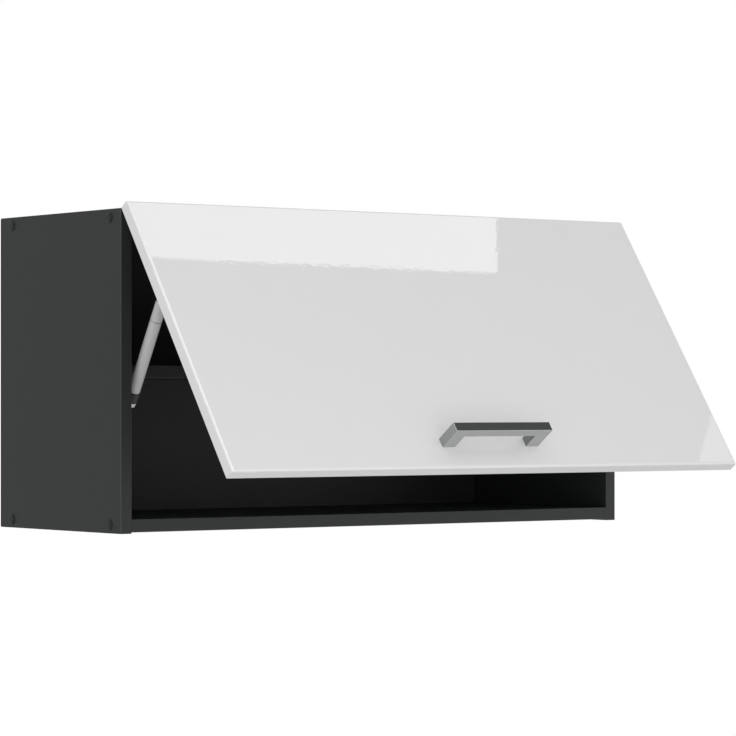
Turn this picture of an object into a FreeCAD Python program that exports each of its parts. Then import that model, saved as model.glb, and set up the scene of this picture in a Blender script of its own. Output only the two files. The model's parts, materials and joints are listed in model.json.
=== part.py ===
import FreeCAD, Part
import os
import re
import Sketcher

# A lift-up flap wall cabinet: a chipboard carcass with one shelf, a gloss flap on two
# strap hinges along its top edge, and a gas strut on each side that holds the flap up.
# Millimetres. X runs along the width, the wall is the plane Y = 0 and the front faces -Y,
# and Z = 0 is the line of the two wall screws. The flap is drawn part open.

DIMENSIONS = {
    # carcass
    "carcass_width": 800,
    "carcass_height": 400,
    "carcass_depth": 293,
    "board": 16,
    "band": 2,
    "band_round": 1,
    "end_inset": 1.5,
    "back_thick": 3,
    "back_set": 1,
    # carcass joints
    "joint_front": 26.5,
    "joint_rear": 31,
    "joint_inward": 1.2,
    "confirmat_length": 50,
    "confirmat_head": 10,
    "confirmat_neck": 7,
    "confirmat_core": 5,
    "socket_dia": 4.2,
    "socket_deep": 4,
    "cap_dia": 14,
    "cap_rim": 0.6,
    "cap_high": 2,
    "cap_slope": 3,
    "cap_stub_dia": 4,
    "cap_stub_long": 3.5,
    "dowel_dia": 8,
    "dowel_length": 32,
    "dowel_in_side": 11,
    "dowel_inward": 46,
    "dowel_bevel": 1,
    # nails of the back panel
    "nail_head": 3.4,
    "nail_head_deep": 1.2,
    "nail_dia": 1.5,
    "nail_length": 20,
    "nail_corner": 92,
    # shelf
    "shelf_up": 192,
    "shelf_depth": 203,
    "shelf_play": 1,
    "pin_in_side": 8,
    "pin_peg_dia": 5,
    "pin_collar_dia": 9,
    "pin_collar_thick": 0.8,
    "pin_arm_dia": 6,
    "pin_arm_long": 9,
    "pin_from_edge": 36,
    # wall brackets
    "hanger_drop": 45,
    "hanger_plate": 2,
    "hanger_wide": 52,
    "hanger_reach": 38,
    "hanger_high": 34,
    "hanger_screw_in": 25,
    "hanger_screw_span": 17,
    "hanger_slot_in": 32,
    "slot_dia": 7,
    "slot_length": 18,
    "slot_play": 3,
    # countersunk wood screws
    "screw_head": 7,
    "screw_dia": 3.5,
    "screw_bevel": 1.9,
    "screw_point": 3,
    "screw_length": 14,
    # flap
    "door_width": 800,
    "door_height": 400,
    "door_thick": 16,
    "door_gap": 1,
    "door_round": 3.5,
    "door_ease": 1,
    "open_angle": 35,
    "axis_ahead": 1,
    "axis_below": 0.5,
    "bumper_dia": 9,
    "bumper_thick": 0.9,
    "bumper_inset": 9,
    # hinges
    "hinge_inset": 150,
    "hinge_length": 60,
    "hinge_middle": 24,
    "leaf": 0.8,
    "leaf_reach": 34,
    "leaf_drop": 30,
    "knuckle_dia": 5,
    "knuckle_gap": 0.3,
    "hinge_pin_dia": 2.5,
    "pin_play": 0.08,
    "hinge_screw_in": 11,
    "leaf_screw_back": 20,
    "leaf_screw_down": 19,
    # handle
    "handle_length": 152,
    "handle_leg": 19.5,
    "handle_bar": 12.5,
    "handle_high": 12.5,
    "handle_standoff": 35.5,
    "handle_up": 30.5,
    "handle_bevel": 0.3,
    "bolt_span": 128,
    "bolt_dia": 4,
    "bolt_in_leg": 14,
    "bolt_head": 8,
    "bolt_head_high": 2.4,
    # gas struts
    "strut_inset": 18,
    "anchor_down": 106,
    "anchor_off": 10,
    "panel_anchor_back": 72,
    "panel_anchor_up": 91,
    "eye_dia": 14,
    "eye_thick": 9,
    "eye_gap": 0.3,
    "neck_slim": 1,
    "pivot_dia": 6,
    "head_from": 26.6,
    "head_end": 1.6,
    "tube_from": 52.8,
    "seam_bevel": 0.5,
    "rod_shown": 97.2,
    "tube_dia": 15,
    "tube_wall": 1.2,
    "tube_roll": 1,
    "gland_dia": 15.8,
    "gland_long": 13.8,
    "gland_cup": 8.2,
    "collar_dia": 16,
    "collar_long": 5,
    "collar_seat_dia": 10,
    "nose_long": 2.6,
    "nose_dia": 13.5,
    "rod_dia": 6,
    "piston_down": 91.6,
    "piston_long": 6,
    "piston_play": 0.25,
    "socket_eye_dia": 15,
    "socket_neck_long": 12,
    "socket_grip": 5,
    # strut brackets, with the corner and bend radii of all sheet metal
    "bracket_plate": 2,
    "plate_corner": 4,
    "bend_round": 1.5,
    "foot_wide": 30,
    "foot_high": 40,
    "foot_screw_out": 13,
    "rivet_head": 9,
    "rivet_head_thick": 1.2,
    "plate_wide": 30,
    "plate_high": 44,
    "plate_screw_out": 15,
    "stud_dia": 8,
}

# Places worked out from the sizes; each name may be used in any expression below.
FORMULAS = {
    "half": "carcass_width / 2",
    "inner": "half - board",
    "top": "hanger_drop",
    "bottom": "top - carcass_height",
    "front": "-carcass_depth",
    "rear": "-back_thick",
    "deck_under": "top - end_inset - board",
    "deck_joint": "deck_under + board / 2 - joint_inward",
    "floor_under": "bottom + end_inset",
    "floor_joint": "floor_under + board / 2 + joint_inward",
    "shelf_under": "bottom + shelf_up",
    "shelf_front": "rear - shelf_depth",
    "joint_front_y": "front + joint_front",
    "joint_rear_y": "-joint_rear",
    "hanger_x": "inner - hanger_slot_in",
    "axis_y": "front - axis_ahead",
    "axis_z": "top - axis_below",
    "door_rear": "axis_ahead - door_gap",
    "door_front": "door_rear - door_thick",
    "door_top": "axis_below",
    "door_bottom": "door_top - door_height",
    "handle_top": "door_bottom + handle_up + handle_high",
    "handle_front": "door_front - handle_standoff",
    "hinge_x": "door_width / 2 - hinge_inset",
    "leaf_under": "axis_below - end_inset - board",
    "knuckle_clear": "knuckle_dia / 2 + knuckle_gap",
    "strap_top": "-(hinge_pin_dia + knuckle_dia) / 4",
    "strut_x": "inner - strut_inset",
    "pivot_y": "door_rear + anchor_off",
    "pivot_z": "door_top - anchor_down",
    "pivot_open_y": "axis_y + pivot_y * cos(open_angle) + pivot_z * sin(open_angle)",
    "pivot_open_z": "axis_z - pivot_y * sin(open_angle) + pivot_z * cos(open_angle)",
    "stud_y": "front + panel_anchor_back",
    "stud_z": "bottom + panel_anchor_up",
    "strut_tilt": "atan2(stud_y - pivot_open_y; pivot_open_z - stud_z)",
    "strut_span": "sqrt((stud_y - pivot_open_y) ^ 2 + (pivot_open_z - stud_z) ^ 2)",
    "tube_to": "strut_span - rod_shown",
    "rod_length": "strut_span - piston_down",
    "tube_bore": "tube_dia / 2 - tube_wall",
    "gland_to": "tube_to + gland_long",
    "collar_to": "gland_to + collar_long",
    "nose_to": "collar_to + nose_long",
    "eye_clear": "eye_thick / 2 + eye_gap",
    "neck_radius": "(eye_thick - neck_slim) / 2",
}

X_AXIS = FreeCAD.Vector(1, 0, 0)
SAME_PLACE = 1e-6
DIRECTIONS = {
    "+X": FreeCAD.Vector(1, 0, 0),
    "-X": FreeCAD.Vector(-1, 0, 0),
    "+Y": FreeCAD.Vector(0, 1, 0),
    "-Y": FreeCAD.Vector(0, -1, 0),
    "+Z": FreeCAD.Vector(0, 0, 1),
    "-Z": FreeCAD.Vector(0, 0, -1),
}
SIDES = {"left": -1, "right": 1}

doc = FreeCAD.newDocument("flap_cabinet")
sheet = doc.addObject("Spreadsheet::Sheet", "Size")
for row, (alias, value) in enumerate(DIMENSIONS.items(), start=1):
    sheet.set(f"A{row}", alias)
    sheet.set(f"B{row}", str(value))
    sheet.setAlias(f"B{row}", alias)
doc.recompute()

nodes = []


def tied(text):
    """An expression in sheet aliases, from one in the names of sizes and places."""
    def spelled(match):
        word = match[0]
        if word in FORMULAS:
            return f"({tied(FORMULAS[word])})"
        return f"Size.{word}" if word in DIMENSIONS else word
    return re.sub(r"[a-z]+(?:_[a-z]+)*", spelled, text)


def bind(obj, **sizes):
    for name, text in sizes.items():
        obj.setExpression(name, tied(text))


def place(obj, x="0", y="0", z="0", turn=None, axis=X_AXIS):
    """Puts an object at a place; turn is an angle about the axis, in degrees."""
    if turn:
        obj.Placement = FreeCAD.Placement(FreeCAD.Vector(), FreeCAD.Rotation(axis, 1))
        obj.setExpression("Placement.Rotation.Angle", tied(turn))
    for letter, text in zip("xyz", (x, y, z)):
        obj.setExpression(f"Placement.Base.{letter}", tied(text))
    return obj


def keep(obj, label):
    """Makes an object one of the cabinet's pieces."""
    obj.Label = label
    nodes.append(obj)
    return obj


def span(sign, near, far):
    """The low and high ends along X of something between two distances from the middle."""
    return (near, far) if sign > 0 else (f"-({far})", f"-({near})")


def outward(sign):
    return "+X" if sign > 0 else "-X"


def box(name, x, y, z):
    """A block between the low and high ends given along each axis."""
    obj = doc.addObject("Part::Box", name)
    for size, (low, high) in zip(("Length", "Width", "Height"), (x, y, z)):
        obj.setExpression(size, tied(f"({high}) - ({low})"))
    return place(obj, x[0], y[0], z[0])


def bar(name, radius, length, x="0", y="0", z="0", along="+X"):
    """A round bar that starts at a place and runs one way."""
    obj = doc.addObject("Part::Cylinder", name)
    bind(obj, Radius=radius, Height=length)
    obj.Placement.Rotation = FreeCAD.Rotation(DIRECTIONS["+Z"], DIRECTIONS[along])
    return place(obj, x, y, z)


def group(name, members):
    obj = doc.addObject("Part::Compound", name)
    obj.Links = members
    return obj


def fuse(name, members):
    obj = doc.addObject("Part::MultiFuse", name)
    obj.Shapes = members
    obj.Refine = True
    return obj


def cut(name, base, tools):
    obj = doc.addObject("Part::Cut", name)
    obj.Base = base
    obj.Tool = tools[0] if len(tools) == 1 else group(name + "_tools", tools)
    return obj


def sketch_polygon(body, name, plane, corners):
    """A closed outline of straight lines, with each corner tied to the sizes."""
    sketch = body.newObject("Sketcher::SketchObject", name)
    support = [part for part in body.Origin.OriginFeatures if part.Role == plane]
    sketch.AttachmentSupport = [(support[0], "")]
    sketch.MapMode = "FlatFace"
    corner_sizes = [tuple(measured(text) for text in corner) for corner in corners]
    points = [FreeCAD.Vector(u, v, 0) for u, v in corner_sizes]
    count = len(points)
    for index in range(count):
        sketch.addGeometry(Part.LineSegment(points[index], points[(index + 1) % count]))
    for index in range(count):
        sketch.addConstraint(Sketcher.Constraint("Coincident", index, 2, (index + 1) % count, 1))
    for index, (corner, size) in enumerate(zip(corners, corner_sizes)):
        for kind, text, value in zip(("DistanceX", "DistanceY"), corner, size):
            made = sketch.addConstraint(Sketcher.Constraint(kind, -1, 1, index, 1, value))
            sketch.setExpression(f"Constraints[{made}]", tied(text))
    return sketch


def measured(text):
    """The number that an expression has now."""
    return float(FreeCAD.Units.Quantity(sheet.evalExpression(tied(text).replace("Size.", ""))).Value)


def padded(name, plane, corners, low, high):
    """A body of one outline, drawn in a plane and run from low to high across it."""
    body = doc.addObject("PartDesign::Body", name)
    sketch = sketch_polygon(body, name + "_outline", plane, corners)
    sketch.setExpression("AttachmentOffset.Base.z", tied(low))
    pad = body.newObject("PartDesign::Pad", name + "_pad")
    pad.Profile = sketch
    pad.setExpression("Length", tied(f"({high}) - ({low})"))
    doc.recompute()
    return body


def runs_along(edge, way):
    ends = [vertex.Point for vertex in edge.Vertexes]
    return ends[0].distanceToLine(ends[-1], DIRECTIONS[way]) < SAME_PLACE


def ease_edges(body, kind, name, levels, way=None, **size):
    """Rounds or bevels a body's edges that lie at all the given levels, or only those that run one way."""
    shaped = body.Tip
    places = [(axis, measured(text)) for axis, text in levels.items()]
    edges = [f"Edge{number}" for number, edge in enumerate(body.Shape.Edges, start=1)
             if all(abs(getattr(vertex, axis) - value) < SAME_PLACE
                    for vertex in edge.Vertexes for axis, value in places)
             and (way is None or runs_along(edge, way))]
    feature = body.newObject(f"PartDesign::{kind}", name)
    feature.Base = (shaped, edges)
    bind(feature, **size)
    doc.recompute()


def round_corners(body, levels, way):
    """Rounds the free corners of a sheet-metal arm; the levels give the arm's end."""
    name = f"{body.Name}_corners_{way[1].lower()}"
    ease_edges(body, "Fillet", name, levels, way=way, Radius="plate_corner")


def round_bend(body, levels):
    """Rounds the outer edge of a bend in sheet metal."""
    ease_edges(body, "Fillet", body.Name + "_bend", levels, Radius="bend_round")


def upright_band(name, x):
    """An edge band up the front of a side panel, with its long front edges rounded."""
    corners = [(x[0], "front"), (x[1], "front"), (x[1], "front + band"), (x[0], "front + band")]
    body = padded(name, "XY_Plane", corners, "bottom", "top")
    ease_edges(body, "Fillet", name + "_rounding", {"Y": "front"}, way="+Z", Radius="band_round")
    return body


def level_band(name, x, front_y, z):
    """An edge band along the front of a level board, with its long front edges rounded."""
    rear_y = f"{front_y} + band"
    corners = [(front_y, z[0]), (rear_y, z[0]), (rear_y, z[1]), (front_y, z[1])]
    body = padded(name, "YZ_Plane", corners, x[0], x[1])
    ease_edges(body, "Fillet", name + "_rounding", {"Y": front_y}, way="+X", Radius="band_round")
    return body


def turned(name, corners):
    """A body turned about its Z axis, from an outline of radius and height."""
    body = doc.addObject("PartDesign::Body", name)
    sketch = sketch_polygon(body, name + "_outline", "XZ_Plane", corners)
    revolution = body.newObject("PartDesign::Revolution", name + "_turning")
    revolution.Profile = sketch
    revolution.ReferenceAxis = (sketch, ["V_Axis"])
    revolution.Angle = 360
    doc.recompute()
    return body


def copies(name, pattern, places):
    """The same piece at several places, its own Z axis along the way given."""
    made = []
    for number, (x, y, z, way) in enumerate(places, start=1):
        link = doc.addObject("App::Link", f"{name}_{number}")
        link.LinkedObject = pattern
        link.Placement.Rotation = FreeCAD.Rotation(DIRECTIONS["+Z"], DIRECTIONS[way])
        made.append(place(link, x, y, z))
    return group(name, made)


def carried(local, label, **seat):
    """A piece that was drawn in a moving part's own frame, put where that part is."""
    return keep(place(group(label, [local]), **seat), label)


def on_flap(local, label):
    return carried(local, label, y="axis_y", z="axis_z", turn="-open_angle")


def on_cylinder(local, label, sign):
    seat = {"x": f"{sign} * strut_x", "y": "pivot_open_y", "z": "pivot_open_z"}
    return carried(local, label, turn="strut_tilt", **seat)


def on_rod(local, label, sign):
    seat = {"x": f"{sign} * strut_x", "y": "stud_y", "z": "stud_z"}
    return carried(local, label, turn="strut_tilt", **seat)


# Fasteners, drawn once with the head's face at Z = 0 and the shank below it.
confirmat = turned("confirmat", [
    ("0", "-socket_deep"), ("socket_dia / 2", "-socket_deep"), ("socket_dia / 2", "0"),
    ("confirmat_head / 2", "0"), ("confirmat_neck / 2", "(confirmat_neck - confirmat_head) / 2"),
    ("confirmat_neck / 2", "-board"), ("confirmat_core / 2", "-board"),
    ("confirmat_core / 2", "confirmat_core / 2 - confirmat_length"), ("0", "-confirmat_length")])
cap = turned("cap", [
    ("0", "-cap_stub_long"), ("cap_stub_dia / 2", "-cap_stub_long"), ("cap_stub_dia / 2", "0"),
    ("cap_dia / 2", "0"), ("cap_dia / 2", "cap_rim"), ("cap_dia / 2 - cap_slope", "cap_high"),
    ("0", "cap_high")])
dowel = turned("dowel", [
    ("0", "0"), ("dowel_dia / 2 - dowel_bevel", "0"), ("dowel_dia / 2", "-dowel_bevel"),
    ("dowel_dia / 2", "dowel_bevel - dowel_length"),
    ("dowel_dia / 2 - dowel_bevel", "-dowel_length"), ("0", "-dowel_length")])
nail = turned("nail", [
    ("0", "0"), ("nail_head / 2", "0"), ("nail_dia / 2", "-nail_head_deep"),
    ("nail_dia / 2", "nail_dia - nail_length"), ("0", "-nail_length")])
shelf_pin = turned("shelf_pin", [
    ("0", "pin_in_side"), ("0", "-pin_arm_long"), ("pin_arm_dia / 2", "-pin_arm_long"),
    ("pin_arm_dia / 2", "-pin_collar_thick"), ("pin_collar_dia / 2", "-pin_collar_thick"),
    ("pin_collar_dia / 2", "0"), ("pin_peg_dia / 2", "0"), ("pin_peg_dia / 2", "pin_in_side")])
wood_screw = turned("wood_screw", [
    ("0", "0"), ("screw_head / 2", "0"), ("screw_dia / 2", "-screw_bevel"),
    ("screw_dia / 2", "screw_point - screw_length"), ("0", "-screw_length")])
handle_bolt = turned("handle_bolt", [
    ("0", "bolt_head_high"), ("bolt_head / 2", "bolt_head_high"), ("bolt_head / 2", "0"),
    ("bolt_dia / 2", "0"), ("bolt_dia / 2", "-door_thick - bolt_in_leg"),
    ("0", "-door_thick - bolt_in_leg")])

# Carcass joints: confirmat screws under caps, and dowels between them.
corner_joints = [(sign, y, z) for sign in SIDES.values()
                 for y in ("joint_front_y", "joint_rear_y")
                 for z in ("deck_joint", "floor_joint")]
confirmats = keep(copies("confirmats", confirmat, [
    (f"{sign} * half", y, z, outward(sign)) for sign, y, z in corner_joints]), "confirmat_screws")
socket = turned("socket", [
    ("0", "-socket_deep"), ("socket_dia / 2", "-socket_deep"), ("socket_dia / 2", "0"), ("0", "0")])
sockets = copies("sockets", socket, [
    (f"{sign} * half", y, z, outward(sign)) for sign, y, z in corner_joints])
dowels = keep(copies("dowels_set", dowel, [
    (f"{sign} * (inner + dowel_in_side)", y, z, outward(sign))
    for sign in SIDES.values()
    for y in ("joint_front_y + dowel_inward", "joint_rear_y - dowel_inward")
    for z in ("deck_joint", "floor_joint")]), "dowels")
for side, sign in SIDES.items():
    keep(copies(f"caps_{side}", cap, [
        (f"{sign} * half", y, z, outward(sign))
        for joint_sign, y, z in corner_joints if joint_sign == sign]), f"screw_caps_{side}")

# Nails of the back panel, along all four edges.
nail_rows = [(f"{share} * (half - nail_corner)", z) for share in ("-1", "-1 / 3", "1 / 3", "1")
             for z in ("deck_joint", "floor_joint")]
nail_columns = [(f"{sign} * (half - board / 2)",
                 f"(top + bottom) / 2 + {share} * (carcass_height / 2 - nail_corner)")
                for sign in SIDES.values() for share in (-1, 0, 1)]
nails = keep(copies("nails", nail, [
    (x, "0", z, "+Y") for x, z in nail_rows + nail_columns]), "back_nails")

# Shelf pins.
shelf_pins = keep(copies("shelf_pins_set", shelf_pin, [
    (f"{sign} * inner", y, "shelf_under - pin_arm_dia / 2", outward(sign))
    for sign in SIDES.values()
    for y in ("shelf_front + pin_from_edge", "rear - pin_from_edge")]), "shelf_pins")

# Screws of the wall brackets and of the struts' panel brackets.
hanger_screws = keep(copies("hanger_screws", wood_screw, [
    (f"{sign} * (inner - hanger_plate)", "rear - hanger_screw_in",
     f"{step} * hanger_screw_span / 2", outward(-sign))
    for sign in SIDES.values() for step in (-1, 1)]), "wall_bracket_screws")
stud_screws = keep(copies("stud_screws", wood_screw, [
    (f"{sign} * (inner - bracket_plate)", "stud_y", f"stud_z + {step} * plate_screw_out",
     outward(-sign))
    for sign in SIDES.values() for step in (-1, 1)]), "panel_bracket_screws")

# Hinges: on the carcass a leaf goes down the front edge of the top board and under it, and
# on the flap a leaf is let into the rear face. Both are drawn about the hinge axis.
hinge_screws = keep(copies("hinge_screws", wood_screw, [
    (f"{sign} * hinge_x + {step} * (hinge_length / 2 - hinge_screw_in)",
     "front + leaf_screw_back", "deck_under - leaf", "-Z")
    for sign in SIDES.values() for step in (-1, 1)]), "hinge_top_screws")
flap_screws = copies("flap_screws", wood_screw, [
    (f"{sign} * hinge_x + {step} * (hinge_length / 2 - hinge_screw_in)",
     "door_rear", "-leaf_screw_down", "+Y")
    for sign in SIDES.values() for step in (-1, 1)])
on_flap(flap_screws, "hinge_flap_screws")


def knuckles(name, middle, ends, radius, slack):
    """Coaxial round bars over a hinge's middle third, or over its two ends."""
    made = []
    if middle:
        made.append(bar(name + "_middle", radius, f"hinge_middle + 2 * {slack}",
                        x=f"-hinge_middle / 2 - {slack}"))
    if ends:
        length = f"(hinge_length - hinge_middle) / 2 + 2 * {slack}"
        made.append(bar(name + "_first", radius, length, x=f"-hinge_length / 2 - {slack}"))
        made.append(bar(name + "_last", radius, length, x=f"hinge_middle / 2 - {slack}"))
    return made


fixed_strap = padded("fixed_strap", "YZ_Plane", [
    ("axis_ahead - leaf", "strap_top"), ("axis_ahead", "strap_top"), ("axis_ahead", "leaf_under"),
    ("axis_ahead + leaf_reach", "leaf_under"), ("axis_ahead + leaf_reach", "leaf_under - leaf"),
    ("axis_ahead - leaf", "leaf_under - leaf")], "-hinge_length / 2", "hinge_length / 2")
flap_strap = padded("flap_strap", "YZ_Plane", [
    ("door_rear - leaf", "strap_top"), ("door_rear", "strap_top"),
    ("door_rear", "-leaf_drop"), ("door_rear - leaf", "-leaf_drop")],
    "-hinge_length / 2", "hinge_length / 2")
round_corners(fixed_strap, {"Y": "axis_ahead + leaf_reach"}, "+Z")
round_corners(flap_strap, {"Z": "-leaf_drop"}, "+Y")
hinge_bore = bar("hinge_bore", "hinge_pin_dia / 2 + pin_play", "hinge_length", x="-hinge_length / 2")
fixed_leaf = cut("fixed_leaf", fuse("fixed_leaf_whole", [
    cut("fixed_strap_notched", fixed_strap,
        knuckles("fixed_notch", True, False, "knuckle_clear", "knuckle_gap")),
    *knuckles("fixed_knuckle", False, True, "knuckle_dia / 2", "0")]), [hinge_bore])
flap_leaf = cut("flap_leaf", fuse("flap_leaf_whole", [
    cut("flap_strap_notched", flap_strap,
        knuckles("flap_notch", False, True, "knuckle_clear", "knuckle_gap")),
    *knuckles("flap_knuckle", True, False, "knuckle_dia / 2", "-knuckle_gap")]), [hinge_bore])
hinge_pin = bar("hinge_pin", "hinge_pin_dia / 2", "hinge_length", x="-hinge_length / 2")
hinge_room = bar("hinge_room", "knuckle_clear", "hinge_length + 2 * knuckle_gap",
                 x="-hinge_length / 2 - knuckle_gap")

rooms_in_deck = []
rooms_in_flap = []
for side, sign in SIDES.items():
    middle = f"{sign} * hinge_x"
    seated = place(group(f"fixed_leaf_{side}", [fixed_leaf]), middle, "axis_y", "axis_z")
    keep(cut(f"hinge_fixed_{side}", seated, [hinge_screws]), f"hinge_top_leaf_{side}")
    keep(place(group(f"pin_{side}", [hinge_pin]), middle, "axis_y", "axis_z"), f"hinge_pin_{side}")
    moved = place(group(f"flap_leaf_{side}", [flap_leaf]), middle)
    on_flap(cut(f"hinge_moving_{side}", moved, [flap_screws]), f"hinge_flap_leaf_{side}")
    rooms_in_deck.append(place(group(f"deck_room_{side}", [hinge_room]), middle, "axis_y", "axis_z"))
    rooms_in_flap.append(place(group(f"flap_room_{side}", [hinge_room, flap_strap]), middle))

# Boards of the carcass, drilled for what goes into them, with a band on each front edge.
side_holes = [confirmats, sockets, dowels, shelf_pins, hanger_screws, stud_screws, nails]
for side, sign in SIDES.items():
    width = span(sign, "inner", "half")
    blank = box(f"side_blank_{side}", width, ("front + band", "rear"), ("bottom", "top"))
    keep(cut(f"side_{side}", blank, side_holes), f"side_panel_{side}")
    keep(upright_band(f"side_band_{side}", width), f"side_edge_band_{side}")

between = ("-inner", "inner")
deck = ("deck_under", "deck_under + board")
floor = ("floor_under", "floor_under + board")
deck_blank = box("deck_blank", between, ("front + band", "rear"), deck)
keep(cut("deck_board", deck_blank, [confirmats, dowels, nails, hinge_screws] + rooms_in_deck), "top_panel")
deck_band = level_band("deck_band", between, "front", deck)
keep(cut("deck_band_cut", deck_band, rooms_in_deck), "top_edge_band")
floor_blank = box("floor_blank", between, ("front + band", "rear"), floor)
keep(cut("floor_board", floor_blank, [confirmats, dowels, nails]), "bottom_panel")
keep(level_band("floor_band", between, "front", floor), "bottom_edge_band")

shelf_width = ("shelf_play - inner", "inner - shelf_play")
shelf_levels = ("shelf_under", "shelf_under + board")
keep(box("shelf_board", shelf_width, ("shelf_front + band", "rear"), shelf_levels), "shelf")
keep(level_band("shelf_band", shelf_width, "shelf_front", shelf_levels), "shelf_edge_band")


def slot(name, middle, dia, length):
    """A round-ended slot along X, cut through from the wall side."""
    straight = f"({length} - {dia}) / 2"
    behind = "hanger_plate"
    before = "rear - 2 * hanger_plate"
    ends = [bar(f"{name}_{word}", f"{dia} / 2", f"{behind} - ({before})",
                x=f"{middle} + {step} * ({straight})", y=behind, along="-Y")
            for word, step in (("low", -1), ("high", 1))]
    middle_part = box(f"{name}_middle", (f"{middle} - {straight}", f"{middle} + {straight}"),
                      (before, behind), (f"-{dia} / 2", f"{dia} / 2"))
    return fuse(name, ends + [middle_part])


# Wall brackets: an angle in each rear top corner, with a slot for a wall screw.
back_holes = [nails]
for side, sign in SIDES.items():
    middle = f"{sign} * hanger_x"
    arms = [(f"{sign} * inner", "rear"), (f"{sign} * (inner - hanger_wide)", "rear"),
            (f"{sign} * (inner - hanger_wide)", "rear - hanger_plate"),
            (f"{sign} * (inner - hanger_plate)", "rear - hanger_plate"),
            (f"{sign} * (inner - hanger_plate)", "rear - hanger_reach"),
            (f"{sign} * inner", "rear - hanger_reach")]
    angle = padded(f"hanger_angle_{side}", "XY_Plane", arms, "-hanger_high / 2", "hanger_high / 2")
    round_corners(angle, {"Y": "rear - hanger_reach"}, "+X")
    round_corners(angle, {"X": f"{sign} * (inner - hanger_wide)"}, "+Y")
    round_bend(angle, {"X": f"{sign} * inner", "Y": "rear"})
    wall_slot = slot(f"wall_slot_{side}", middle, "slot_dia", "slot_length")
    keep(cut(f"hanger_{side}", angle, [wall_slot, hanger_screws]), f"wall_bracket_{side}")
    back_holes.append(slot(f"back_slot_{side}", middle, "(slot_dia + 2 * slot_play)",
                           "(slot_length + 2 * slot_play)"))
back_blank = box("back_blank", ("back_set - half", "half - back_set"), ("rear", "0"),
                 ("bottom + back_set", "top - back_set"))
keep(cut("back_board", back_blank, back_holes), "back_panel")

# Handle: a bow of square bar, held by two bolts through the flap.
bolts = copies("bolts", handle_bolt, [
    (f"{sign} * bolt_span / 2", "door_rear", "handle_top - handle_high / 2", "+Y")
    for sign in SIDES.values()])
on_flap(bolts, "handle_screws")
bow = padded("bow", "XY_Plane", [
    ("-handle_length / 2", "door_front"), ("-handle_length / 2", "handle_front"),
    ("handle_length / 2", "handle_front"), ("handle_length / 2", "door_front"),
    ("handle_length / 2 - handle_leg", "door_front"),
    ("handle_length / 2 - handle_leg", "handle_front + handle_bar"),
    ("handle_leg - handle_length / 2", "handle_front + handle_bar"),
    ("handle_leg - handle_length / 2", "door_front")], "handle_top - handle_high", "handle_top")
ease_edges(bow, "Chamfer", "bow_bevel", {"Y": "handle_front"}, Size="handle_bevel")
on_flap(cut("handle_bow", bow, [bolts]), "handle")

# Strut brackets. On the flap an angle with a rivet holds the strut's eye, and on the side
# panel a plate has a stud beside the rod's end.
foot_screws = copies("foot_screws", wood_screw, [
    (f"{sign} * (strut_x - eye_clear - foot_wide / 2 - bracket_plate / 2)", "door_rear + bracket_plate",
     f"pivot_z + {step} * foot_screw_out", "+Y")
    for sign in SIDES.values() for step in (-1, 1)])
on_flap(foot_screws, "flap_bracket_screws")
for side, sign in SIDES.items():
    ear = "strut_x - eye_clear"
    outline = [(f"{sign} * ({ear})", "door_rear"), (f"{sign} * ({ear} - foot_wide)", "door_rear"),
               (f"{sign} * ({ear} - foot_wide)", "door_rear + bracket_plate"),
               (f"{sign} * ({ear} - bracket_plate)", "door_rear + bracket_plate"),
               (f"{sign} * ({ear} - bracket_plate)", "pivot_y + eye_dia / 2"),
               (f"{sign} * ({ear})", "pivot_y + eye_dia / 2")]
    angle = padded(f"foot_{side}", "XY_Plane", outline, "pivot_z - foot_high / 2", "pivot_z + foot_high / 2")
    round_corners(angle, {"Y": "pivot_y + eye_dia / 2"}, "+X")
    round_corners(angle, {"X": f"{sign} * ({ear} - foot_wide)"}, "+Y")
    round_bend(angle, {"X": f"{sign} * ({ear})", "Y": "door_rear"})
    rivet = bar(f"rivet_{side}", "pivot_dia / 2", "2 * eye_clear", x=f"{sign} * ({ear})",
                y="pivot_y", z="pivot_z", along=outward(sign))
    rivet_head = bar(f"rivet_head_{side}", "rivet_head / 2", "rivet_head_thick",
                     x=f"{sign} * (strut_x + eye_clear)", y="pivot_y", z="pivot_z", along=outward(sign))
    whole = fuse(f"foot_whole_{side}", [angle, rivet, rivet_head])
    on_flap(cut(f"foot_drilled_{side}", whole, [foot_screws]), f"strut_flap_bracket_{side}")

    near, far = ("stud_y - plate_wide / 2", "stud_y + plate_wide / 2")
    low, high = ("stud_z - plate_high / 2", "stud_z + plate_high / 2")
    thickness = span(sign, "inner - bracket_plate", "inner")
    plate = padded(f"stud_plate_{side}", "YZ_Plane", [(near, low), (far, low), (far, high), (near, high)],
                   *thickness)
    ease_edges(plate, "Fillet", f"stud_plate_corners_{side}", {}, way="+X", Radius="plate_corner")
    stud = bar(f"stud_{side}", "stud_dia / 2", "strut_inset - bracket_plate - eye_clear",
               x=f"{sign} * (inner - bracket_plate)", y="stud_y", z="stud_z", along=outward(-sign))
    keep(cut(f"stud_bracket_{side}", fuse(f"stud_whole_{side}", [plate, stud]), [stud_screws]),
         f"strut_panel_bracket_{side}")

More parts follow.
